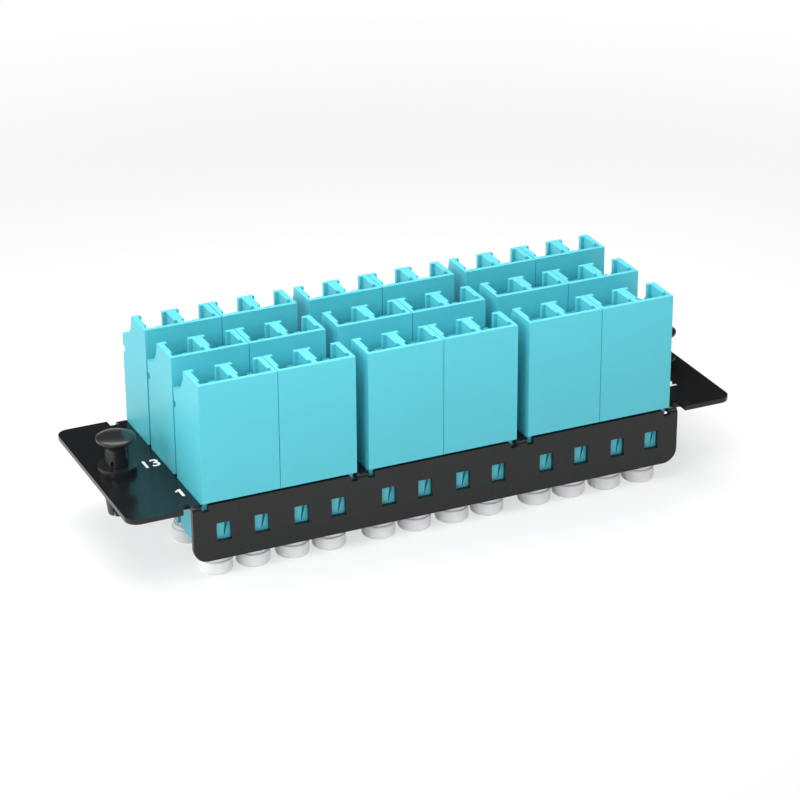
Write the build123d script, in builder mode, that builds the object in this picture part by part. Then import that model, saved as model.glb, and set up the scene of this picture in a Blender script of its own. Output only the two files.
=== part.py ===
from build123d import *
import os

# Fibre adapter panel, resting on its dust caps.
# A folded sheet plate carries three rows of six duplex adapters, stood on end.
# Origin: under the plate's centre, on the surface that the dust caps stand on.
# +X along the panel, +Y from its front flange to its rear flange, +Z up.

# Sheet metal plate
sheet = 0.8
bend_inner_radius = 0.2
tab_corner_radius = 2.0
tab_length = 10.2
end_margin = 1.65
rear_margin = 0.99
flange_height = 9.56
flange_corner_radius = 2.4
relief_width = 1.4
relief_past_bend = 0.7
fold_opening_clearance = 0.1
fold_opening_past_bend = 0.2
fold_notch_width = 1.05
fold_notch_depth = 1.05
fold_notch_chamfer = 0.3
cutout_clearance = 0.1

# Snap windows in the front flange, a little to the right of their ports
window_width = 2.45
window_height = 3.15
window_drop = 3.34
window_shift = 0.14

# Duplex adapters, counted along the panel and across it
port_pitch = 6.25
side_wall = 0.94
adapter_depth = 10.87
adapter_above_plate = 20.03
adapter_below_plate = 8.65
adapters_per_group = 2
group_count = 3
row_count = 3
adapter_gap = 0.1
group_gap = 2.05
row_gap = 0.6
seat_clearance = 0.05
seat_lift = 0.4
side_step = 0.35

# Passages inside each adapter, measured from its front face and its ends
front_wall = 0.74
guide_start = 1.9
tall_part_depth = 6.3
arc_steps = 6
lip_thickness = 0.7
lip_opening = 3.54
channel_width = 4.62
corner_relief_width = 5.42
rear_wall = 0.95
rear_opening_drop = 2.6
middle_wall = 2.4
sleeve_room = 1.8
port_axis_from_front = 4.0

# Snap wedge on each port's front wall, under the plate
wedge_width = 1.25
wedge_thickness = 0.42
wedge_clearance = 0.12

# Dust caps
cap_head_radius = 2.7
cap_head_sides = 16
cap_head_height = 1.85
cap_neck_length = 2.65
cap_plug_width = 3.4
cap_plug_length = 3.2

# Push-pull plungers and their grommets
plunger_inset = 4.4
grommet_flange_radius = 3.1
grommet_flange_height = 1.1
grommet_neck_radius = 2.4
grommet_radius = 2.2
grommet_straight = 4.0
grommet_length = 7.2
grommet_tip_radius = 1.8
grommet_hole_clearance = 0.06
grommet_slot = 0.3
grommet_slot_angle = 45
pin_radius = 1.2
pin_clearance = 0.08
pin_tip_inset = 0.5
plunger_height = 6.1
plunger_head_radius = 3.1
plunger_head_edge = 1.0
plunger_stem_radius = 1.88
plunger_seat_gap = 0.05

# Heights and places that follow
cap_stand_off = cap_head_height + cap_neck_length
plate_top = cap_stand_off + adapter_below_plate
plate_under = plate_top - sheet
bend_outer_radius = bend_inner_radius + sheet
adapter_top = plate_top + adapter_above_plate
adapter_bottom = plate_top - adapter_below_plate
adapter_middle = (adapter_top + adapter_bottom) / 2
adapter_width = port_pitch + channel_width + 2 * side_wall
adapter_pitch = adapter_width + adapter_gap
group_width = adapters_per_group * adapter_pitch - adapter_gap
group_pitch = group_width + group_gap
row_pitch = adapter_depth + row_gap
flange_length = group_count * group_pitch - group_gap + 2 * end_margin
plate_length = flange_length + 2 * tab_length
plate_depth = row_count * row_pitch - row_gap + rear_margin
front_face = -plate_depth / 2
seat_recess = sheet + seat_clearance
group_centres = [(i - (group_count - 1) / 2) * group_pitch for i in range(group_count)]
adapter_offsets = [(i - (adapters_per_group - 1) / 2) * adapter_pitch for i in range(adapters_per_group)]
adapter_centres = [group + offset for group in group_centres for offset in adapter_offsets]
port_offsets = [-port_pitch / 2, port_pitch / 2]
row_fronts = [front_face + row * row_pitch for row in range(row_count)]
row_names = ["front_row", "middle_row", "rear_row"]
arc_radius = adapter_depth - tall_part_depth
ledge_top = adapter_top - arc_radius
rear_wall_top = ledge_top - rear_opening_drop
latch_slot_rear = adapter_depth - rear_wall
lip_front = tall_part_depth - lip_thickness
window_top = plate_top - window_drop
window_bottom = window_top - window_height
upper_floor = adapter_middle + middle_wall / 2
lower_floor = adapter_middle - middle_wall / 2
plunger_x = plate_length / 2 - plunger_inset
pin_bottom = pin_tip_inset - grommet_length
stem_bottom = grommet_flange_height + plunger_seat_gap
head_bottom = plunger_height - plunger_head_edge
stem_top = head_bottom - (plunger_head_radius - plunger_stem_radius)

os.makedirs("parts", exist_ok=True)


def passage(x_limits, y_limits, z_limits):
    """Cuts a straight-sided passage between these limits out of the part being built."""
    limits = (x_limits, y_limits, z_limits)
    centre = [(low + high) / 2 for low, high in limits]
    with Locations(tuple(centre)):
        Box(*[high - low for low, high in limits], mode=Mode.SUBTRACT)


# Panel plate, one folded sheet
# The front and rear edges are folded down, and the two ends stay flat as tabs.
with BuildPart() as panel_plate:
    with BuildSketch(Plane.YZ.offset(-flange_length / 2)) as fold_profile:
        with Locations((0, plate_top)):
            Rectangle(plate_depth, flange_height, align=(Align.CENTER, Align.MAX))
        fillet(fold_profile.vertices().group_by(Axis.Y)[-1], bend_outer_radius)
        with Locations((0, plate_under)):
            Rectangle(
                plate_depth - 2 * sheet,
                flange_height,
                align=(Align.CENTER, Align.MAX),
                mode=Mode.SUBTRACT,
            )
        inner_corners = [v for v in fold_profile.vertices() if abs(v.Y - plate_under) < sheet / 100]
        fillet(inner_corners, bend_inner_radius)
    extrude(amount=flange_length)
    fillet(panel_plate.edges().filter_by(Axis.Y).group_by(Axis.Z)[0], flange_corner_radius)

    # Flat tabs at both ends
    with BuildSketch(Plane.XY.offset(plate_under)):
        RectangleRounded(plate_length, plate_depth, tab_corner_radius)
        Rectangle(flange_length, plate_depth, mode=Mode.SUBTRACT)
    extrude(amount=sheet)

    # Relief notches where the tabs meet the folds
    relief_depth = bend_outer_radius + relief_past_bend
    with BuildSketch(Plane.XY.offset(plate_under)):
        with GridLocations(flange_length + relief_width, plate_depth - relief_depth, 2, 2):
            Rectangle(relief_width, relief_depth)
    extrude(amount=sheet, mode=Mode.SUBTRACT)

    # One cut-out for each pair of adapters, leaving webs between the rows and groups
    cutout_width = group_width - 2 * side_step + 2 * cutout_clearance
    cutout_depth = adapter_depth + cutout_clearance - sheet
    cutout_centre = row_pitch * (row_count - 1) / 2 + sheet + cutout_depth / 2
    with BuildSketch(Plane.XY.offset(plate_under)):
        with Locations((0, front_face + cutout_centre)):
            with GridLocations(group_pitch, row_pitch, group_count, row_count):
                Rectangle(cutout_width, cutout_depth)
    extrude(amount=sheet, mode=Mode.SUBTRACT)

    # The front fold is opened in front of each pair, and the flange stands straight there
    fold_opening = group_width + 2 * fold_opening_clearance
    fold_opening_depth = bend_outer_radius + fold_opening_past_bend
    with BuildSketch(Plane.XY.offset(plate_top)):
        with Locations((0, front_face + fold_opening_depth / 2)):
            with GridLocations(group_pitch, 0, group_count, 1):
                Rectangle(fold_opening, fold_opening_depth)
    extrude(amount=-fold_notch_depth, mode=Mode.SUBTRACT)
    with BuildSketch(Plane.XZ.offset(-front_face)) as flange_tops:
        with Locations((0, plate_top)):
            with GridLocations(group_pitch, 0, group_count, 1):
                Rectangle(
                    fold_opening - 2 * fold_notch_width,
                    fold_notch_depth,
                    align=(Align.CENTER, Align.MAX),
                )
        chamfer(flange_tops.vertices().group_by(Axis.Y)[-1], fold_notch_chamfer)
    extrude(amount=-sheet)

    # Snap windows, one for each port of the front row
    with BuildSketch(Plane.XZ.offset(-front_face)):
        for adapter_x in adapter_centres:
            for port_x in port_offsets:
                window_x = adapter_x + port_x + window_shift
                with Locations((window_x, window_top - window_height / 2)):
                    Rectangle(window_width, window_height)
    extrude(amount=-sheet, mode=Mode.SUBTRACT)

    # A hole for a plunger in each tab
    with BuildSketch(Plane.XY.offset(plate_under)):
        with GridLocations(2 * plunger_x, 0, 2, 1):
            Circle(grommet_neck_radius + grommet_hole_clearance)
    extrude(amount=sheet, mode=Mode.SUBTRACT)

panel_plate.part.label = "panel_plate"
export_step(panel_plate.part, "parts/panel_plate.step")


# Duplex adapter housing, modelled once with its front face at Y = 0
with BuildPart() as housing:
    # Side profile: a shoulder seats on the plate, and the latch side is cut low by an arc in flats
    with BuildSketch(Plane.YZ):
        with BuildLine():
            arc = CenterArc((adapter_depth, adapter_top), arc_radius, 180, 90, mode=Mode.PRIVATE)
            Polyline(*[arc @ (step / arc_steps) for step in range(arc_steps + 1)])
            Polyline(
                (adapter_depth, ledge_top),
                (adapter_depth, adapter_bottom),
                (seat_recess, adapter_bottom),
                (seat_recess, plate_top),
                (0, plate_top + seat_lift),
                (0, adapter_top),
                (tall_part_depth, adapter_top),
            )
        make_face()
    extrude(amount=adapter_width / 2, both=True)

    # The sides step in below the plate, so that the shoulder rests on it
    with BuildSketch(Plane.XY.offset(plate_top)):
        Rectangle(adapter_width, 2 * adapter_depth)
        Rectangle(adapter_width - 2 * side_step, 2 * adapter_depth, mode=Mode.SUBTRACT)
    extrude(amount=-adapter_below_plate, mode=Mode.SUBTRACT)

    for port_x in port_offsets:
        channel = (port_x - channel_width / 2, port_x + channel_width / 2)
        relief = (port_x - corner_relief_width / 2, port_x + corner_relief_width / 2)
        lips = (port_x - lip_opening / 2, port_x + lip_opening / 2)

        # Upper port: plug channel with corner reliefs, and the latch's way out between the lips
        passage(channel, (guide_start, lip_front), (upper_floor, adapter_top))
        passage(relief, (front_wall, guide_start), (upper_floor, adapter_top))
        passage(lips, (lip_front, tall_part_depth), (upper_floor, adapter_top))
        # Behind the lips the latch runs down to its keepers, over a rear wall that is cut low
        passage(channel, (tall_part_depth, adapter_depth), (rear_wall_top, adapter_top))
        passage(lips, (tall_part_depth, latch_slot_rear), (upper_floor, rear_wall_top))
        # Lower port: a plain channel behind a front wall set back by the shoulder
        passage(channel, (seat_recess + front_wall, lip_front), (adapter_bottom, lower_floor))
        passage(lips, (lip_front, latch_slot_rear), (adapter_bottom, lower_floor))
        # The ferrules meet in a square room through the middle wall
        room_x = (port_x - sleeve_room / 2, port_x + sleeve_room / 2)
        room_y = (port_axis_from_front - sleeve_room / 2, port_axis_from_front + sleeve_room / 2)
        passage(room_x, room_y, (lower_floor, upper_floor))

    # Snap wedges, thick at the top, that stand in the left half of the flange's windows
    wedge_start = window_shift - window_width / 2 + wedge_clearance
    wedge_starts = [port_x + wedge_start for port_x in port_offsets]
    with BuildSketch(*[Plane.YZ.offset(start) for start in wedge_starts]):
        with BuildLine():
            Polyline(
                (seat_recess, window_top - wedge_clearance),
                (seat_recess - wedge_thickness, window_top - wedge_clearance),
                (seat_recess, window_bottom + wedge_clearance),
                close=True,
            )
        make_face()
    extrude(amount=wedge_width)

for row_name, row_front in zip(row_names, row_fronts):
    for number, adapter_x in enumerate(adapter_centres, start=1):
        adapter = housing.part.moved(Location((adapter_x, row_front, 0)))
        adapter.label = f"{row_name}_adapter_{number}"
        export_step(adapter, f"parts/{adapter.label}.step")


# Dust caps in the lower ports, a node for each row
for row_name, row_front in zip(row_names, row_fronts):
    cap_places = [(x + p, row_front + port_axis_from_front) for x in adapter_centres for p in port_offsets]
    with BuildPart() as caps:
        with BuildSketch(Plane.XY):
            with Locations(*cap_places):
                RegularPolygon(cap_head_radius, cap_head_sides)
        extrude(amount=cap_head_height)
        with BuildSketch(Plane.XY.offset(cap_head_height)):
            with Locations(*cap_places):
                Rectangle(cap_plug_width, cap_plug_width)
        extrude(amount=cap_neck_length + cap_plug_length)
    caps.part.label = f"{row_name}_dust_caps"
    export_step(caps.part, f"parts/{caps.part.label}.step")


# Plungers and their grommets, one pair in each tab
for side_name, side in (("left", -1), ("right", 1)):
    place = Plane((side * plunger_x, 0, plate_top))

    # Grommet: a flange on the plate, a neck in its hole and a barrel of two halves below
    with BuildPart() as grommet:
        with BuildSketch(Plane.XZ.shift_origin(place.origin)):
            with BuildLine():
                Polyline(
                    (pin_radius + pin_clearance, grommet_flange_height),
                    (grommet_flange_radius, grommet_flange_height),
                    (grommet_flange_radius, 0),
                    (grommet_neck_radius, 0),
                    (grommet_neck_radius, -sheet),
                    (grommet_radius, -sheet),
                    (grommet_radius, -grommet_straight),
                    (grommet_tip_radius, -grommet_length),
                    (pin_radius + pin_clearance, -grommet_length),
                    close=True,
                )
            make_face()
        revolve(axis=Axis(place.origin, (0, 0, 1)))
        with BuildSketch(place.offset(-sheet - grommet_slot)):
            Rectangle(3 * grommet_radius, grommet_slot, rotation=grommet_slot_angle)
        extrude(amount=-grommet_length, mode=Mode.SUBTRACT)
    grommet.part.label = f"{side_name}_grommet"
    export_step(grommet.part, f"parts/{grommet.part.label}.step")

    # Plunger: flat head, stem, and the pin that spreads the grommet's halves
    with BuildPart() as plunger:
        with BuildSketch(Plane.XZ.shift_origin(place.origin)):
            with BuildLine():
                Polyline(
                    (0, pin_bottom),
                    (pin_radius, pin_bottom),
                    (pin_radius, stem_bottom),
                    (plunger_stem_radius, stem_bottom),
                    (plunger_stem_radius, stem_top),
                    (plunger_head_radius, head_bottom),
                    (plunger_head_radius, plunger_height),
                    (0, plunger_height),
                    close=True,
                )
            make_face()
        revolve(axis=Axis(place.origin, (0, 0, 1)))
    plunger.part.label = f"{side_name}_plunger"
    export_step(plunger.part, f"parts/{plunger.part.label}.step")
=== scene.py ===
import math

import bpy
from mathutils import Matrix, Vector


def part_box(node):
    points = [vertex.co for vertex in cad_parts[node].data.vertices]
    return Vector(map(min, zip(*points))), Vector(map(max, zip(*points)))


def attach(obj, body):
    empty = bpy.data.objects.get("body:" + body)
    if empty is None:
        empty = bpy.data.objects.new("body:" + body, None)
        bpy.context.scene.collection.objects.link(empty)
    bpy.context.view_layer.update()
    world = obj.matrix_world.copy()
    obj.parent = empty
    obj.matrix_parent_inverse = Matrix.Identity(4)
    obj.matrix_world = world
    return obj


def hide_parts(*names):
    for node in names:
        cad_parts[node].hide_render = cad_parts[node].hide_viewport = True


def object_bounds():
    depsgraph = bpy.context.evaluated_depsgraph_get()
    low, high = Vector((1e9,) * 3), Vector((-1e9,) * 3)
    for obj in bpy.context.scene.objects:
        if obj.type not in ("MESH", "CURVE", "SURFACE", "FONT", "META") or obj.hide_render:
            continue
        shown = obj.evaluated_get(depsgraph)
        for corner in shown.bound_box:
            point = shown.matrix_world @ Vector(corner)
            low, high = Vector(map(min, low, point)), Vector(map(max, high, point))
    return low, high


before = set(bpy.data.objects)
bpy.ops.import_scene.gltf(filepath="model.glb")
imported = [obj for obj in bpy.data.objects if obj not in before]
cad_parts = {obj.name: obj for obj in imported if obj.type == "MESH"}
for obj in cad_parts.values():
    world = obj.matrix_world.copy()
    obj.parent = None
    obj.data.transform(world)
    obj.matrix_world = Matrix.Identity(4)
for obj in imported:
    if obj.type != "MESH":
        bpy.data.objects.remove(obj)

bl_info = {
    "name": "Fibre adapter panel",
    "version": (1, 0, 0),
    "blender": (4, 5, 0),
    "location": "View3D > Sidebar > Adapter panel",
    "description": "Dresses a folded panel of fibre adapters with finishes, details and a studio",
    "category": "Object",
}

MM = 0.001
ROWS = ("front_row", "middle_row", "rear_row")
SIDES = ("left", "right")
ADAPTERS_PER_ROW = 6
PORTS_PER_ADAPTER = 2
PORTS_PER_ROW = PORTS_PER_ADAPTER * ADAPTERS_PER_ROW
BOTH_SIDES = (-1, 1)

# Places that every operator reads from the frame
CAD_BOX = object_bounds()
PLATE_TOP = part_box("panel_plate")[1].z
FIRST_LOW, FIRST_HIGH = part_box("front_row_adapter_1")
ADAPTER_MIDDLE = (FIRST_LOW.z + FIRST_HIGH.z) / 2

# Copies of nodes: how close points are merged, and how flat two faces are to become one, in degrees
MERGE_DISTANCE = 0.002 * MM
FLAT_ANGLE = 1

# Finishes: the size of the mottle, and the range that its noise mostly keeps to
MOTTLE_SIZE = 9 * MM
NOISE_RANGE = (0.3, 0.7)

# Adapters: how far a cutting tool reaches past what it cuts, and the sizes of the smallest details
OVERSHOOT = 1 * MM
WALL_OVERLAP = 0.1 * MM
SLOT_REACH = 1.1 * MM
POCKET_FOOT_SHARE = 0.15
SLEEVE_CLEARANCE = 0.05 * MM
SLEEVE_INSET = 0.4 * MM
SLIT_WIDTH = 0.2 * MM
SLIT_REACH = 2 * MM

# Dust caps: (radius, height) steps in mm. The foot starts at the head's radius and the floor, the
# rim at the head's radius and top, and the collar at the axis and the head's top
CAP_FOOT = ((-0.5, 0.0), (-0.25, 0.05), (-0.08, 0.2), (0.0, 0.5))
CAP_RIM = ((0.0, -0.12), (-0.12, 0.0))
CAP_COLLAR = ((2.5, 0.0), (2.45, 0.05), (2.45, 0.5), (2.35, 0.6))
CAP_PLUG_WIDTH = 3.4 * MM
CAP_PLUG_ROUND = 0.2 * MM

# Latches: the seat stands above the plate, and the head's (radius, height) steps in mm start at the
# axis and the plunger's top
GROMMET_ROUND = 0.12 * MM
PIN_RADIUS = 1.2 * MM
STEM_RADIUS = 1.8 * MM
STEM_SEAT = 1.15 * MM
PLUNGER_HEAD = (
    (1.8, -2.3),
    (1.85, -2.0),
    (2.0, -1.65),
    (2.3, -1.3),
    (2.65, -1.02),
    (2.95, -0.86),
    (3.06, -0.78),
    (3.1, -0.68),
    (3.1, -0.42),
    (3.07, -0.32),
    (2.98, -0.26),
    (2.3, -0.15),
    (1.6, -0.07),
    (0.9, -0.02),
    (0.2, 0.0),
)
# The groove down a stem and the hole that it ends in: points in mm from the axis and the plate's
# top, and radii in mm
GROOVE_POINTS = ((-1.99, 0.16, 4.0), (-1.4, -1.42, 1.7), (-0.7, -0.7, 1.7))
GROOVE_RADIUS = 0.5 * MM
HOLE_RADIUS = 0.38 * MM

# Numbers: the edge of each column, its shift from its row's line, and the ink
ROW_LINE = 5.6 * MM
LEFT_COLUMN = -40.85 * MM
LEFT_SHIFT = 0.3 * MM
RIGHT_COLUMN = 43.1 * MM
RIGHT_SHIFT = 3.4 * MM
COLUMN_BESIDE_COLLAR = 41.2 * MM
DIGIT_SHARE = 0.69
INK_SPREAD = 0.06 * MM
INK_HEIGHT = 0.015 * MM
# The flag of a one, as shares of the number's height, and its turn in degrees
FLAG_PLACE = (-0.05, -0.17)
FLAG_SIZE = (0.42, 0.14)
FLAG_TURN = 38

# Studio light: (sine of the elevation, brightness), where 1 shows a colour as it is written. The
# rear's dark band is what the level tops mirror, so the coated sheet looks black
FRONT_LIGHT = [(0.0, 0.78), (0.3, 0.78), (0.6, 0.1), (1.0, 0.1)]
REAR_LIGHT = [(0.0, 0.8), (0.12, 0.7), (0.25, 0.02), (0.6, 0.02), (0.75, 1.3), (1.0, 1.3)]
REAR_DIRECTION = (0.42, 0.91, 0.0)
REAR_TURN = {"From Min": -0.05, "From Max": 0.4, "To Min": 0.0, "To Max": 1.0}
# Each soft box: its name, then its place, the point that it faces and its size in mm, and its level
SOFT_BOXES = (
    ("left_soft_box", (-420, 120, 160), (0, 0, 20), (380, 380), 2.1),
    ("key_box", (-190, -130, 130), (0, 0, 20), (70, 70), 8.0),
    ("top_box", (-50, -60, 190), (0, 0, 20), (110, 80), 4.0),
    ("front_strip", (0, -42, 55), (0, -17, 28), (200, 16), 2.5),
    ("overhead_strip", (0, 40, 120), (0, 0, 20), (200, 80), 3.2),
)
# The floor that a camera or a mirror sees: its share of plain white, by the distance in m
FLOOR_SIZE = 6
FLOOR_WHITE = {"From Min": 90 * MM, "From Max": 260 * MM, "To Min": 0.64, "To Max": 1.0}

# The photograph's camera: place in mm, turns in degrees, lens and sensor in mm, clipping in m
CAMERA_PLACE = (-173.05, -379.71, 210.35)
CAMERA_AZIMUTH = 24.559
CAMERA_ELEVATION = 25.018
CAMERA_ROLL = 0.323
CAMERA_LENS = 128.39
CAMERA_SENSOR = 36.0
CAMERA_CLIP = (0.01, 20)


# Helpers for objects


def select_only(*objects):
    """Selects these objects and nothing else, with the first one active."""
    bpy.ops.object.select_all(action="DESELECT")
    for piece in objects:
        piece.select_set(True)
    bpy.context.view_layer.objects.active = objects[0]


def apply_modifier(piece, kind, **settings):
    """Adds a modifier with these settings and applies it."""
    select_only(piece)
    modifier = piece.modifiers.new(kind.lower(), kind)
    for key, value in settings.items():
        setattr(modifier, key, value)
    bpy.ops.object.modifier_apply(modifier=modifier.name)


def cut(piece, tool, operation="DIFFERENCE"):
    """Cuts the tool out of the piece, or joins it on, and removes the tool."""
    apply_modifier(piece, "BOOLEAN", object=tool, operation=operation, solver="EXACT")
    bpy.data.objects.remove(tool, do_unlink=True)


def place_in_mesh(piece):
    """Moves an object's place, turn and scale into its mesh, so that it sits at the origin."""
    select_only(piece)
    bpy.ops.object.transform_apply(location=True, rotation=True, scale=True)


def finish_piece(piece, name, body, material, nodes=()):
    """Names a piece, gives it its material and body, and hides the nodes that it stands for."""
    piece.name = name
    piece.data.name = name
    piece.data.materials.clear()
    piece.data.materials.append(material)
    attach(piece, body)
    if nodes:
        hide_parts(*nodes)
    return piece


def copy_of_node(node, name):
    """A separate, merged copy of a node's mesh, with its flat triangles joined to whole faces."""
    piece = bpy.data.objects.new(name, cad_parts[node].data.copy())
    bpy.context.scene.collection.objects.link(piece)
    select_only(piece)
    bpy.ops.object.mode_set(mode="EDIT")
    bpy.ops.mesh.select_all(action="SELECT")
    bpy.ops.mesh.remove_doubles(threshold=MERGE_DISTANCE)
    bpy.ops.mesh.dissolve_limited(angle_limit=math.radians(FLAT_ANGLE))
    bpy.ops.object.mode_set(mode="OBJECT")
    return piece


def moved_copy(piece, offset):
    """A copy of a piece with its own mesh, moved by this offset."""
    twin = piece.copy()
    twin.data = piece.data.copy()
    twin.data.transform(Matrix.Translation(offset))
    bpy.context.scene.collection.objects.link(twin)
    return twin


def round_edges(piece, width, segments=2, angle=30):
    """Rounds every edge sharper than the angle."""
    apply_modifier(
        piece,
        "BEVEL",
        width=width,
        segments=segments,
        limit_method="ANGLE",
        angle_limit=math.radians(angle),
    )
    shade(piece)


def shade(piece, angle=35):
    """Shades curved stretches smooth, keeps corners crisp and leaves broad faces flat."""
    select_only(piece)
    bpy.ops.object.shade_smooth_by_angle(angle=math.radians(angle))
    apply_modifier(piece, "WEIGHTED_NORMAL", keep_sharp=True, weight=100)


def turned(name, centre, profile, vertices):
    """A solid of revolution: a filled circle, extruded and resized along (radius, height) steps."""
    radius, height = profile[0]
    bpy.ops.mesh.primitive_circle_add(
        vertices=vertices,
        radius=radius,
        fill_type="NGON",
        location=(centre[0], centre[1], height),
    )
    piece = bpy.context.object
    piece.name = name
    bpy.ops.object.mode_set(mode="EDIT")
    bpy.ops.mesh.select_all(action="SELECT")
    for next_radius, next_height in profile[1:]:
        bpy.ops.mesh.extrude_region_move(
            TRANSFORM_OT_translate={"value": (0, 0, next_height - height)}
        )
        bpy.ops.transform.resize(
            value=(next_radius / radius, next_radius / radius, 1),
            center_override=(centre[0], centre[1], next_height),
        )
        radius, height = next_radius, next_height
    bpy.ops.mesh.select_all(action="SELECT")
    bpy.ops.mesh.normals_make_consistent(inside=False)
    bpy.ops.object.mode_set(mode="OBJECT")
    place_in_mesh(piece)
    return piece


def block(low, high):
    """A box between two corners."""
    centre = (Vector(low) + Vector(high)) / 2
    bpy.ops.mesh.primitive_cube_add(size=1, location=centre, scale=Vector(high) - Vector(low))
    piece = bpy.context.object
    place_in_mesh(piece)
    return piece


def joined_copies(model, row, port_pitch):
    """One copy of the first port's model for each port of a row, joined to one piece."""
    twins = []
    for number in range(1, ADAPTERS_PER_ROW + 1):
        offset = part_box(f"{row}_adapter_{number}")[0] - FIRST_LOW
        for port in range(PORTS_PER_ADAPTER):
            twins.append(moved_copy(model, offset + Vector((port * port_pitch, 0, 0))))
    select_only(*twins)
    bpy.ops.object.join()
    return twins[0]


# Helpers for materials


def linear(hex_colour):
    """Linear red, green, blue and alpha of an sRGB hex colour."""
    values = [int(hex_colour[i:i + 2], 16) / 255 for i in (1, 3, 5)]
    return [v / 12.92 if v <= 0.04045 else ((v + 0.055) / 1.055) ** 2.4 for v in values] + [1.0]


def add_node(tree, kind, inputs=None, links=None, **settings):
    """Adds one shader node with its settings, socket values and incoming links."""
    node = tree.nodes.new(kind)
    for key, value in settings.items():
        setattr(node, key, value)
    for socket, value in (inputs or {}).items():
        node.inputs[socket].default_value = value
    for socket, source in (links or {}).items():
        tree.links.new(source, node.inputs[socket])
    return node


def new_material(name):
    """An empty node material, with its tree and its output."""
    material = bpy.data.materials.new(name)
    material.use_nodes = True
    tree = material.node_tree
    tree.nodes.clear()
    output = add_node(tree, "ShaderNodeOutputMaterial")
    return material, tree, output


def grainy_finish(name, colour, roughness, spread, grain, depth, specular=0.5, mottle=0.06):
    """A moulded or coated finish: a fine grain, and a slight mottle in colour and gloss."""
    material, tree, output = new_material(name)
    place = add_node(tree, "ShaderNodeTexCoord").outputs["Object"]
    fine = add_node(
        tree,
        "ShaderNodeTexNoise",
        {"Scale": 1 / grain, "Detail": 2.0, "Roughness": 0.6},
        {"Vector": place},
    )
    broad = add_node(
        tree,
        "ShaderNodeTexNoise",
        {"Scale": 1 / MOTTLE_SIZE, "Detail": 3.0, "Roughness": 0.5},
        {"Vector": place},
    )
    bump = add_node(
        tree,
        "ShaderNodeBump",
        {"Strength": 1.0, "Distance": depth},
        {"Height": fine.outputs["Fac"]},
    )
    noise_low, noise_high = NOISE_RANGE
    gloss = add_node(
        tree,
        "ShaderNodeMapRange",
        {
            "From Min": noise_low,
            "From Max": noise_high,
            "To Min": roughness - spread,
            "To Max": roughness + spread,
        },
        {"Value": broad.outputs["Fac"]},
    )
    base = linear(colour)
    tint = add_node(tree, "ShaderNodeValToRGB", links={"Fac": broad.outputs["Fac"]})
    dark, light = tint.color_ramp.elements
    dark.position = noise_low
    dark.color = [c * (1 - mottle) for c in base[:3]] + [1.0]
    light.position = noise_high
    light.color = [min(1.0, c * (1 + mottle)) for c in base[:3]] + [1.0]
    shader = add_node(
        tree,
        "ShaderNodeBsdfPrincipled",
        {"Specular IOR Level": specular},
        {
            "Base Color": tint.outputs["Color"],
            "Roughness": gloss.outputs["Result"],
            "Normal": bump.outputs["Normal"],
        },
    )
    tree.links.new(shader.outputs["BSDF"], output.inputs["Surface"])
    return material


def material_named(name):
    """The finish with this name, made when it is first asked for."""
    if name not in MADE_FINISHES:
        MADE_FINISHES[name] = FINISHES[name]()
    return MADE_FINISHES[name]


def aqua_pbt():
    """Injection-moulded PBT: an even body colour with the polished mould's soft satin sheen."""
    look = bpy.context.scene.panel_look
    return grainy_finish(
        "aqua_pbt", look.aqua_hex,
        roughness=0.45, spread=0.03, grain=0.5 * MM, depth=0.002 * MM, mottle=0.015,
    )


def polyester_powder_coat():
    """Polyester powder coat on steel: near-black, a smooth flow with faint orange peel."""
    look = bpy.context.scene.panel_look
    return grainy_finish(
        "polyester_powder_coat", look.coat_hex,
        roughness=0.18, spread=0.02, grain=0.6 * MM, depth=0.001 * MM, specular=0.33,
    )


def white_ldpe():
    """Low-density polyethylene caps: milky white and waxy."""
    look = bpy.context.scene.panel_look
    return grainy_finish(
        "white_ldpe", look.cap_hex,
        roughness=0.42, spread=0.04, grain=0.8 * MM, depth=0.002 * MM, mottle=0.01,
    )


def nylon_66():
    """Moulded nylon 6/6: black with a low gloss that shows its edges."""
    look = bpy.context.scene.panel_look
    return grainy_finish(
        "nylon_66", look.nylon_hex,
        roughness=0.2, spread=0.03, grain=0.5 * MM, depth=0.001 * MM, specular=0.42,
    )


def white_ink():
    """Pad-printed ink: opaque white, a little matt."""
    look = bpy.context.scene.panel_look
    return grainy_finish(
        "white_ink", look.ink_hex,
        roughness=0.5, spread=0.03, grain=0.4 * MM, depth=0.001 * MM, mottle=0.01,
    )


def zirconia():
    """Sintered and ground zirconia: ivory white and glassy."""
    look = bpy.context.scene.panel_look
    return grainy_finish(
        "zirconia", look.sleeve_hex,
        roughness=0.15, spread=0.02, grain=0.4 * MM, depth=0.0005 * MM, mottle=0.01,
    )


MADE_FINISHES = {}
FINISHES = {
    "aqua_pbt": aqua_pbt,
    "polyester_powder_coat": polyester_powder_coat,
    "white_ldpe": white_ldpe,
    "nylon_66": nylon_66,
    "white_ink": white_ink,
    "zirconia": zirconia,
}


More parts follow.
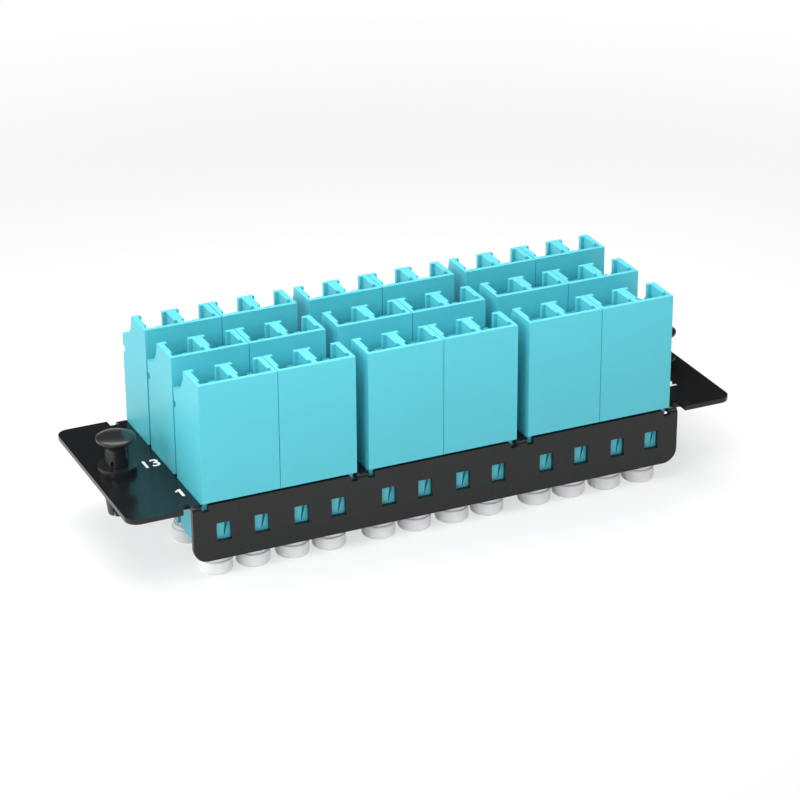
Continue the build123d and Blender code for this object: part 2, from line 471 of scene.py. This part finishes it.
class PanelSizes(bpy.types.PropertyGroup):
    """Sizes of the details that the frame doesn't hold."""

    sheet_round: bpy.props.FloatProperty(
        name="Sheet edge round", description="Round on the coated sheet's cut edges",
        default=0.12 * MM, unit="LENGTH", precision=5,
    )
    mould_round: bpy.props.FloatProperty(
        name="Moulded edge round", description="Round on the adapters' edges",
        default=0.15 * MM, unit="LENGTH", precision=5,
    )
    port_pitch: bpy.props.FloatProperty(
        name="Port pitch", description="Between the two ports of an adapter",
        default=6.25 * MM, unit="LENGTH", precision=5,
    )
    port_axis: bpy.props.FloatProperty(
        name="Port axis", description="From an adapter's front face to its ferrules",
        default=4.0 * MM, unit="LENGTH", precision=5,
    )
    holder_radius: bpy.props.FloatProperty(
        name="Sleeve holder radius", description="Outside of the tube round each sleeve",
        default=1.3 * MM, unit="LENGTH", precision=5,
    )
    holder_length: bpy.props.FloatProperty(
        name="Sleeve holder length", description="Tube from end to end, through the middle wall",
        default=7.8 * MM, unit="LENGTH", precision=5,
    )
    sleeve_radius: bpy.props.FloatProperty(
        name="Sleeve radius", description="Outside of the split sleeve",
        default=0.83 * MM, unit="LENGTH", precision=5,
    )
    sleeve_bore: bpy.props.FloatProperty(
        name="Sleeve bore radius", description="Bore for the 1.25 mm ferrule",
        default=0.625 * MM, unit="LENGTH", precision=5,
    )
    slot_height: bpy.props.FloatProperty(
        name="Side slot height", description="Short slot in each side wall, near the rear edge",
        default=1.15 * MM, unit="LENGTH", precision=5,
    )
    slot_depth: bpy.props.FloatProperty(
        name="Side slot depth", description="Slot's reach from the rear edge",
        default=0.72 * MM, unit="LENGTH", precision=5,
    )
    slot_top: bpy.props.FloatProperty(
        name="Side slot top", description="Above the plate",
        default=13.3 * MM, unit="LENGTH", precision=5,
    )
    seat_recess: bpy.props.FloatProperty(
        name="Seat recess", description="From an adapter's front to its wall behind the flange",
        default=0.9 * MM, unit="LENGTH", precision=5,
    )
    pocket_start: bpy.props.FloatProperty(
        name="Pocket start", description="From a port's middle to the pocket's left side",
        default=0.29 * MM, unit="LENGTH", precision=5,
    )
    pocket_width: bpy.props.FloatProperty(
        name="Pocket width", description="Width of the pocket at its top",
        default=0.8 * MM, unit="LENGTH", precision=5,
    )
    pocket_depth: bpy.props.FloatProperty(
        name="Pocket depth", description="How deep the pocket goes into the wall",
        default=0.45 * MM, unit="LENGTH", precision=5,
    )
    pocket_drop: bpy.props.FloatProperty(
        name="Pocket drop", description="From the plate's top down to the pocket",
        default=3.5 * MM, unit="LENGTH", precision=5,
    )
    pocket_length: bpy.props.FloatProperty(
        name="Pocket length", description="Height of the pocket",
        default=2.7 * MM, unit="LENGTH", precision=5,
    )
    cap_radius: bpy.props.FloatProperty(
        name="Cap radius", description="Outside of a dust cap's head",
        default=2.7 * MM, unit="LENGTH", precision=5,
    )
    cap_height: bpy.props.FloatProperty(
        name="Cap head height", description="Height of a dust cap's head",
        default=2.25 * MM, unit="LENGTH", precision=5,
    )
    number_height: bpy.props.FloatProperty(
        name="Number height", description="Height of the printed numbers",
        default=2.3 * MM, unit="LENGTH", precision=5,
    )


class PanelLook(bpy.types.PropertyGroup):
    """Colours of the finishes, as sRGB hex values."""

    aqua_hex: bpy.props.StringProperty(
        name="Adapters", description="Adapter body colour", default="#50BCCA",
    )
    coat_hex: bpy.props.StringProperty(
        name="Sheet", description="Powder coat colour", default="#19191A",
    )
    cap_hex: bpy.props.StringProperty(
        name="Dust caps", description="Dust cap colour", default="#F8F8F8",
    )
    nylon_hex: bpy.props.StringProperty(
        name="Plungers", description="Nylon colour", default="#222223",
    )
    ink_hex: bpy.props.StringProperty(
        name="Numbers", description="Printed number colour", default="#F4F4F4",
    )
    sleeve_hex: bpy.props.StringProperty(
        name="Sleeves", description="Ceramic sleeve colour", default="#E9E6DC",
    )
    floor_hex: bpy.props.StringProperty(
        name="Floor", description="Floor colour", default="#F6F6F7",
    )


class PANEL_OT_plate(bpy.types.Operator):
    """Dress the folded plate: its own form, with the coat's soft edges"""

    bl_idname = "panel.plate"
    bl_label = "Panel plate"

    def execute(self, context):
        sizes = context.scene.panel_sizes
        piece = copy_of_node("panel_plate", "plate")
        round_edges(piece, sizes.sheet_round)
        coat = material_named("polyester_powder_coat")
        finish_piece(piece, "plate", "panel", coat, ["panel_plate"])
        return {"FINISHED"}


class PANEL_OT_adapters(bpy.types.Operator):
    """Model one duplex adapter with its slots, pockets and holders, and copy it to every place"""

    bl_idname = "panel.adapters"
    bl_label = "Adapters"

    def execute(self, context):
        sizes = context.scene.panel_sizes
        model = copy_of_node("front_row_adapter_1", "adapter_model")
        self.cut_slots(model, sizes)
        centre_x = (FIRST_LOW.x + FIRST_HIGH.x) / 2
        port_places = [centre_x + side * sizes.port_pitch / 2 for side in BOTH_SIDES]
        for port_x in port_places:
            self.cut_pocket(model, sizes, port_x)
        for port_x in port_places:
            self.add_holder(model, sizes, port_x)
        round_edges(model, sizes.mould_round)
        material = material_named("aqua_pbt")
        for row in ROWS:
            for number in range(1, ADAPTERS_PER_ROW + 1):
                node = f"{row}_adapter_{number}"
                twin = moved_copy(model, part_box(node)[0] - FIRST_LOW)
                name = f"{row}_housing_{number}"
                finish_piece(twin, name, "panel", material, [node])
        bpy.data.objects.remove(model, do_unlink=True)
        return {"FINISHED"}

    def cut_slots(self, model, sizes):
        """Cuts the short slots near the rear edge of both side walls."""
        slot_top = PLATE_TOP + sizes.slot_top
        for edge in (FIRST_LOW.x, FIRST_HIGH.x):
            tool = block(
                (edge - SLOT_REACH, FIRST_HIGH.y - sizes.slot_depth, slot_top - sizes.slot_height),
                (edge + SLOT_REACH, FIRST_HIGH.y + OVERSHOOT, slot_top),
            )
            cut(model, tool)

    def cut_pocket(self, model, sizes, port_x):
        """Cuts the pocket beside a window's snap wedge, which narrows towards its foot."""
        wall = FIRST_LOW.y + sizes.seat_recess
        left = port_x + sizes.pocket_start
        top = PLATE_TOP - sizes.pocket_drop
        bottom = top - sizes.pocket_length
        tool = block(
            (left, wall - WALL_OVERLAP, bottom),
            (left + sizes.pocket_width, wall + sizes.pocket_depth, top),
        )
        select_only(tool)
        bpy.ops.object.mode_set(mode="EDIT")
        bpy.ops.mesh.select_all(action="DESELECT")
        bpy.ops.object.mode_set(mode="OBJECT")
        for face in tool.data.polygons:
            face.select = face.normal.z < -0.5
        bpy.ops.object.mode_set(mode="EDIT")
        bpy.ops.transform.resize(
            value=(POCKET_FOOT_SHARE, 1, 1), center_override=(left, wall, bottom)
        )
        bpy.ops.object.mode_set(mode="OBJECT")
        cut(model, tool)

    def add_holder(self, model, sizes, port_x):
        """Joins on the tube that holds a sleeve, through the middle wall, with its bore."""
        axis = (port_x, FIRST_LOW.y + sizes.port_axis)
        bottom = ADAPTER_MIDDLE - sizes.holder_length / 2
        top = ADAPTER_MIDDLE + sizes.holder_length / 2
        radius = sizes.holder_radius
        tube = turned("holder", axis, [(radius, bottom), (radius, top)], vertices=40)
        cut(model, tube, "UNION")
        radius = sizes.sleeve_radius + SLEEVE_CLEARANCE
        profile = [(radius, bottom - OVERSHOOT), (radius, top + OVERSHOOT)]
        cut(model, turned("bore", axis, profile, vertices=32))


class PANEL_OT_sleeves(bpy.types.Operator):
    """Add the ceramic split sleeves inside the adapters"""

    bl_idname = "panel.sleeves"
    bl_label = "Split sleeves"

    def execute(self, context):
        sizes = context.scene.panel_sizes
        bottom = ADAPTER_MIDDLE - sizes.holder_length / 2 + SLEEVE_INSET
        top = ADAPTER_MIDDLE + sizes.holder_length / 2 - SLEEVE_INSET
        centre_x = (FIRST_LOW.x + FIRST_HIGH.x) / 2
        axis_x, axis_y = centre_x - sizes.port_pitch / 2, FIRST_LOW.y + sizes.port_axis
        radius = sizes.sleeve_radius
        profile = [(radius, bottom), (radius, top)]
        model = turned("sleeve", (axis_x, axis_y), profile, vertices=32)
        radius = sizes.sleeve_bore
        profile = [(radius, bottom - OVERSHOOT), (radius, top + OVERSHOOT)]
        cut(model, turned("bore", (axis_x, axis_y), profile, vertices=32))
        slit = block(
            (axis_x - SLIT_WIDTH / 2, axis_y, bottom - OVERSHOOT),
            (axis_x + SLIT_WIDTH / 2, axis_y + SLIT_REACH, top + OVERSHOOT),
        )
        cut(model, slit)
        shade(model)
        material = material_named("zirconia")
        for row in ROWS:
            piece = joined_copies(model, row, sizes.port_pitch)
            finish_piece(piece, f"{row}_sleeves", "panel", material)
        bpy.data.objects.remove(model, do_unlink=True)
        return {"FINISHED"}


class PANEL_OT_caps(bpy.types.Operator):
    """Model one dust cap, with its collar and rounded head, and copy it to every lower port"""

    bl_idname = "panel.caps"
    bl_label = "Dust caps"

    def execute(self, context):
        sizes = context.scene.panel_sizes
        low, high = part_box("front_row_dust_caps")
        head, top = sizes.cap_radius, sizes.cap_height
        centre_x, centre_y = low.x + head, (low.y + high.y) / 2
        profile = [(head + radius * MM, height * MM) for radius, height in CAP_FOOT]
        profile += [(head + radius * MM, top + height * MM) for radius, height in CAP_RIM]
        profile += [(radius * MM, top + height * MM) for radius, height in CAP_COLLAR]
        model = turned("cap", (centre_x, centre_y), profile, vertices=64)
        half = CAP_PLUG_WIDTH / 2
        plug = block(
            (centre_x - half, centre_y - half, top), (centre_x + half, centre_y + half, high.z)
        )
        apply_modifier(plug, "BEVEL", width=CAP_PLUG_ROUND, segments=3)
        cut(model, plug, "UNION")
        shade(model)
        material = material_named("white_ldpe")
        for row in ROWS:
            piece = joined_copies(model, row, sizes.port_pitch)
            nodes = [f"{row}_dust_caps"]
            finish_piece(piece, f"{row}_caps", "panel", material, nodes)
        bpy.data.objects.remove(model, do_unlink=True)
        return {"FINISHED"}


class PANEL_OT_grommets(bpy.types.Operator):
    """Dress both grommets with soft moulded edges"""

    bl_idname = "panel.grommets"
    bl_label = "Grommets"

    def execute(self, context):
        material = material_named("nylon_66")
        for side in SIDES:
            node = f"{side}_grommet"
            piece = copy_of_node(node, node)
            round_edges(piece, GROMMET_ROUND, segments=3)
            finish_piece(piece, f"{side}_collar", "panel", material, [node])
        return {"FINISHED"}


class PANEL_OT_plungers(bpy.types.Operator):
    """Model both plungers: domed head, flared neck and a scooped stem"""

    bl_idname = "panel.plungers"
    bl_label = "Plungers"

    def execute(self, context):
        material = material_named("nylon_66")
        for side in SIDES:
            node = f"{side}_plunger"
            low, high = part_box(node)
            centre = ((low.x + high.x) / 2, (low.y + high.y) / 2)
            seat = PLATE_TOP + STEM_SEAT
            profile = [(PIN_RADIUS, low.z), (PIN_RADIUS, seat), (STEM_RADIUS, seat)]
            profile += [(radius * MM, high.z + height * MM) for radius, height in PLUNGER_HEAD]
            piece = turned(node, centre, profile, vertices=96)
            self.cut_groove(piece, centre)
            shade(piece, angle=40)
            name = f"{side}_knob"
            finish_piece(piece, name, f"{side}_latch", material, [node])
        return {"FINISHED"}

    def cut_groove(self, piece, centre):
        """Cuts the groove that winds down the stem, and the small hole that it ends in."""
        origin = Vector((centre[0], centre[1], PLATE_TOP))
        upper, lower, inner = (origin + Vector(point) * MM for point in GROOVE_POINTS)
        for start, end, radius in ((upper, lower, GROOVE_RADIUS), (lower, inner, HOLE_RADIUS)):
            run = end - start
            bpy.ops.mesh.primitive_cylinder_add(
                vertices=24,
                radius=radius,
                depth=run.length,
                location=(start + end) / 2,
                rotation=run.to_track_quat("Z", "Y").to_euler(),
            )
            tool = bpy.context.object
            place_in_mesh(tool)
            cut(piece, tool)


class PANEL_OT_numbers(bpy.types.Operator):
    """Print the first and last port number of each row on the tabs"""

    bl_idname = "panel.numbers"
    bl_label = "Port numbers"

    def execute(self, context):
        height = context.scene.panel_sizes.number_height
        material = material_named("white_ink")
        for index, row in enumerate(ROWS):
            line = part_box(f"{row}_adapter_1")[0].y + ROW_LINE - height / 2
            first, last = index * PORTS_PER_ROW + 1, (index + 1) * PORTS_PER_ROW
            # On the middle row, the right-hand number stands clear of the grommet's collar
            right = COLUMN_BESIDE_COLLAR if row == "middle_row" else RIGHT_COLUMN
            for value, column, shift, align in (
                (first, LEFT_COLUMN, LEFT_SHIFT, "RIGHT"),
                (last, right, RIGHT_SHIFT, "LEFT"),
            ):
                bpy.ops.object.text_add(location=(column, line + shift, PLATE_TOP))
                piece = bpy.context.object
                piece.data.body = str(value)
                piece.data.size = height / DIGIT_SHARE
                piece.data.offset = INK_SPREAD
                piece.data.extrude = INK_HEIGHT
                piece.data.align_x = align
                bpy.ops.object.convert(target="MESH")
                piece = bpy.context.object
                place_in_mesh(piece)
                if value == 1:
                    self.add_flag(piece, height)
                finish_piece(piece, f"number_{value}", "panel", material)
        return {"FINISHED"}

    def add_flag(self, piece, height):
        """Adds the short slanting flag at the top left of a one."""
        corners = [vertex.co for vertex in piece.data.vertices]
        left = min(corner.x for corner in corners)
        top = max(corner.y for corner in corners)
        bottom = min(corner.z for corner in corners)
        across, down = FLAG_PLACE
        length, width = FLAG_SIZE
        bpy.ops.mesh.primitive_cube_add(
            size=1,
            location=(left + across * height, top + down * height, PLATE_TOP),
            rotation=(0, 0, math.radians(FLAG_TURN)),
            scale=(length * height, width * height, 2 * (PLATE_TOP - bottom)),
        )
        flag = bpy.context.object
        place_in_mesh(flag)
        cut(piece, flag, "UNION")


class PANEL_OT_stage(bpy.types.Operator):
    """Set up the floor, the lamps, the world and the camera"""

    bl_idname = "panel.stage"
    bl_label = "Studio"

    def execute(self, context):
        scene = context.scene
        scene.view_settings.view_transform = "Standard"
        self.make_floor(scene)
        self.make_light(scene)
        self.make_camera(scene)
        return {"FINISHED"}

    def make_floor(self, scene):
        """A wide pale floor that the caps stand on."""
        bpy.ops.mesh.primitive_plane_add(size=FLOOR_SIZE, location=(0, 0, CAD_BOX[0].z))
        floor = bpy.context.object
        floor.name = "floor"
        place_in_mesh(floor)
        material, tree, output = new_material("matt_paper")
        white = add_node(tree, "ShaderNodeEmission", {"Color": (1, 1, 1, 1), "Strength": 1.0})
        rays = add_node(tree, "ShaderNodeLightPath")
        seen = rays.outputs["Is Camera Ray"]
        for kind in ("Is Glossy Ray", "Is Transmission Ray"):
            either = add_node(
                tree,
                "ShaderNodeMath",
                links={0: seen, 1: rays.outputs[kind]},
                operation="MAXIMUM",
            )
            seen = either.outputs["Value"]
        tone = add_node(
            tree,
            "ShaderNodeMix",
            {"A": linear(scene.panel_look.floor_hex), "B": (1, 1, 1, 1)},
            {"Factor": seen},
            data_type="RGBA",
        )
        paper = add_node(tree, "ShaderNodeBsdfDiffuse", links={"Color": tone.outputs["Result"]})
        place = add_node(tree, "ShaderNodeTexCoord").outputs["Object"]
        distance = add_node(tree, "ShaderNodeVectorMath", links={0: place}, operation="LENGTH")
        whiteness = add_node(
            tree, "ShaderNodeMapRange", FLOOR_WHITE, {"Value": distance.outputs["Value"]}
        )
        share = add_node(
            tree,
            "ShaderNodeMath",
            links={0: seen, 1: whiteness.outputs["Result"]},
            operation="MULTIPLY",
        )
        shader = add_node(
            tree,
            "ShaderNodeMixShader",
            links={
                0: share.outputs["Value"],
                1: paper.outputs["BSDF"],
                2: white.outputs["Emission"],
            },
        )
        tree.links.new(shader.outputs["Shader"], output.inputs["Surface"])
        floor.data.materials.append(material)

    def make_light(self, scene):
        """A pale studio with a dark band low at the rear, and soft boxes round the object."""
        world = bpy.data.worlds.new("studio")
        scene.world = world
        world.use_nodes = True
        tree = world.node_tree
        tree.nodes.clear()
        output = add_node(tree, "ShaderNodeOutputWorld")
        direction = add_node(tree, "ShaderNodeTexCoord").outputs["Generated"]
        parts = add_node(tree, "ShaderNodeSeparateXYZ", links={"Vector": direction})
        front = self.wall_of_light(tree, parts.outputs["Z"], FRONT_LIGHT)
        rear = self.wall_of_light(tree, parts.outputs["Z"], REAR_LIGHT)
        towards_rear = add_node(
            tree,
            "ShaderNodeVectorMath",
            {1: REAR_DIRECTION},
            {0: direction},
            operation="DOT_PRODUCT",
        )
        turn = add_node(
            tree,
            "ShaderNodeMapRange",
            REAR_TURN,
            {"Value": towards_rear.outputs["Value"]},
            interpolation_type="SMOOTHSTEP",
        )
        room = add_node(
            tree,
            "ShaderNodeMix",
            links={"Factor": turn.outputs["Result"], "A": front, "B": rear},
            data_type="FLOAT",
        )
        background = add_node(
            tree, "ShaderNodeBackground", links={"Strength": room.outputs["Result"]}
        )
        tree.links.new(background.outputs["Background"], output.inputs["Surface"])
        for name, place, target, (width, depth), level in SOFT_BOXES:
            bpy.ops.object.light_add(type="AREA", location=Vector(place) * MM)
            lamp = bpy.context.object
            lamp.name = name
            lamp.data.shape = "RECTANGLE"
            lamp.data.size = width * MM
            lamp.data.size_y = depth * MM
            lamp.data.energy = level * math.pi * lamp.data.size * lamp.data.size_y
            lamp.visible_camera = False
            lamp.rotation_mode = "QUATERNION"
            aim = Vector(target) - Vector(place)
            lamp.rotation_quaternion = aim.to_track_quat("-Z", "Y")

    def wall_of_light(self, tree, height, levels):
        """Brightness by height above the horizon, from (sine of elevation, level) pairs."""
        brightest = max(level for _, level in levels)
        ramp = add_node(tree, "ShaderNodeValToRGB", links={"Fac": height})
        while len(ramp.color_ramp.elements) < len(levels):
            ramp.color_ramp.elements.new(0.5)
        for element, (position, level) in zip(ramp.color_ramp.elements, levels):
            element.position = position
            element.color = [level / brightest] * 3 + [1.0]
        scaled = add_node(
            tree,
            "ShaderNodeMath",
            {1: brightest},
            {0: ramp.outputs["Color"]},
            operation="MULTIPLY",
        )
        return scaled.outputs["Value"]

    def make_camera(self, scene):
        """The camera's place and turn, as fitted to the photograph."""
        azimuth = math.radians(CAMERA_AZIMUTH)
        elevation = math.radians(CAMERA_ELEVATION)
        roll = math.radians(CAMERA_ROLL)
        bpy.ops.object.camera_add()
        camera = bpy.context.object
        camera.name = "camera"
        camera.data.lens = CAMERA_LENS
        camera.data.sensor_width = CAMERA_SENSOR
        camera.data.clip_start, camera.data.clip_end = CAMERA_CLIP
        ahead = Vector(
            (
                math.sin(azimuth) * math.cos(elevation),
                math.cos(azimuth) * math.cos(elevation),
                -math.sin(elevation),
            )
        )
        right = ahead.cross(Vector((0, 0, 1))).normalized()
        up = right.cross(ahead)
        turned_right = right * math.cos(roll) - up * math.sin(roll)
        turned_up = right * math.sin(roll) + up * math.cos(roll)
        turn = Matrix((turned_right, turned_up, -ahead)).transposed().to_4x4()
        camera.matrix_world = Matrix.Translation(Vector(CAMERA_PLACE) * MM) @ turn
        scene.camera = camera


class PANEL_PT_sidebar(bpy.types.Panel):
    """Lists the steps in the sidebar"""

    bl_label = "Adapter panel"
    bl_idname = "PANEL_PT_sidebar"
    bl_space_type = "VIEW_3D"
    bl_region_type = "UI"
    bl_category = "Adapter panel"

    def draw(self, context):
        for owner in (context.scene.panel_sizes, context.scene.panel_look):
            for key in owner.__annotations__:
                self.layout.prop(owner, key)
        for operator in STEPS:
            self.layout.operator(operator.bl_idname)


STEPS = (
    PANEL_OT_plate,
    PANEL_OT_adapters,
    PANEL_OT_sleeves,
    PANEL_OT_caps,
    PANEL_OT_grommets,
    PANEL_OT_plungers,
    PANEL_OT_numbers,
    PANEL_OT_stage,
)
CLASSES = (PanelSizes, PanelLook, *STEPS, PANEL_PT_sidebar)


def register():
    for item in CLASSES:
        bpy.utils.register_class(item)
    bpy.types.Scene.panel_sizes = bpy.props.PointerProperty(type=PanelSizes)
    bpy.types.Scene.panel_look = bpy.props.PointerProperty(type=PanelLook)


def unregister():
    del bpy.types.Scene.panel_look
    del bpy.types.Scene.panel_sizes
    for item in reversed(CLASSES):
        bpy.utils.unregister_class(item)


def main():
    """Registers the add-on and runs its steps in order."""
    register()
    bpy.ops.object.select_all(action="DESELECT")
    bpy.ops.panel.plate()
    bpy.ops.panel.adapters()
    bpy.ops.panel.sleeves()
    bpy.ops.panel.caps()
    bpy.ops.panel.grommets()
    bpy.ops.panel.plungers()
    bpy.ops.panel.numbers()
    bpy.ops.panel.stage()


if __name__ == "__main__":
    main()
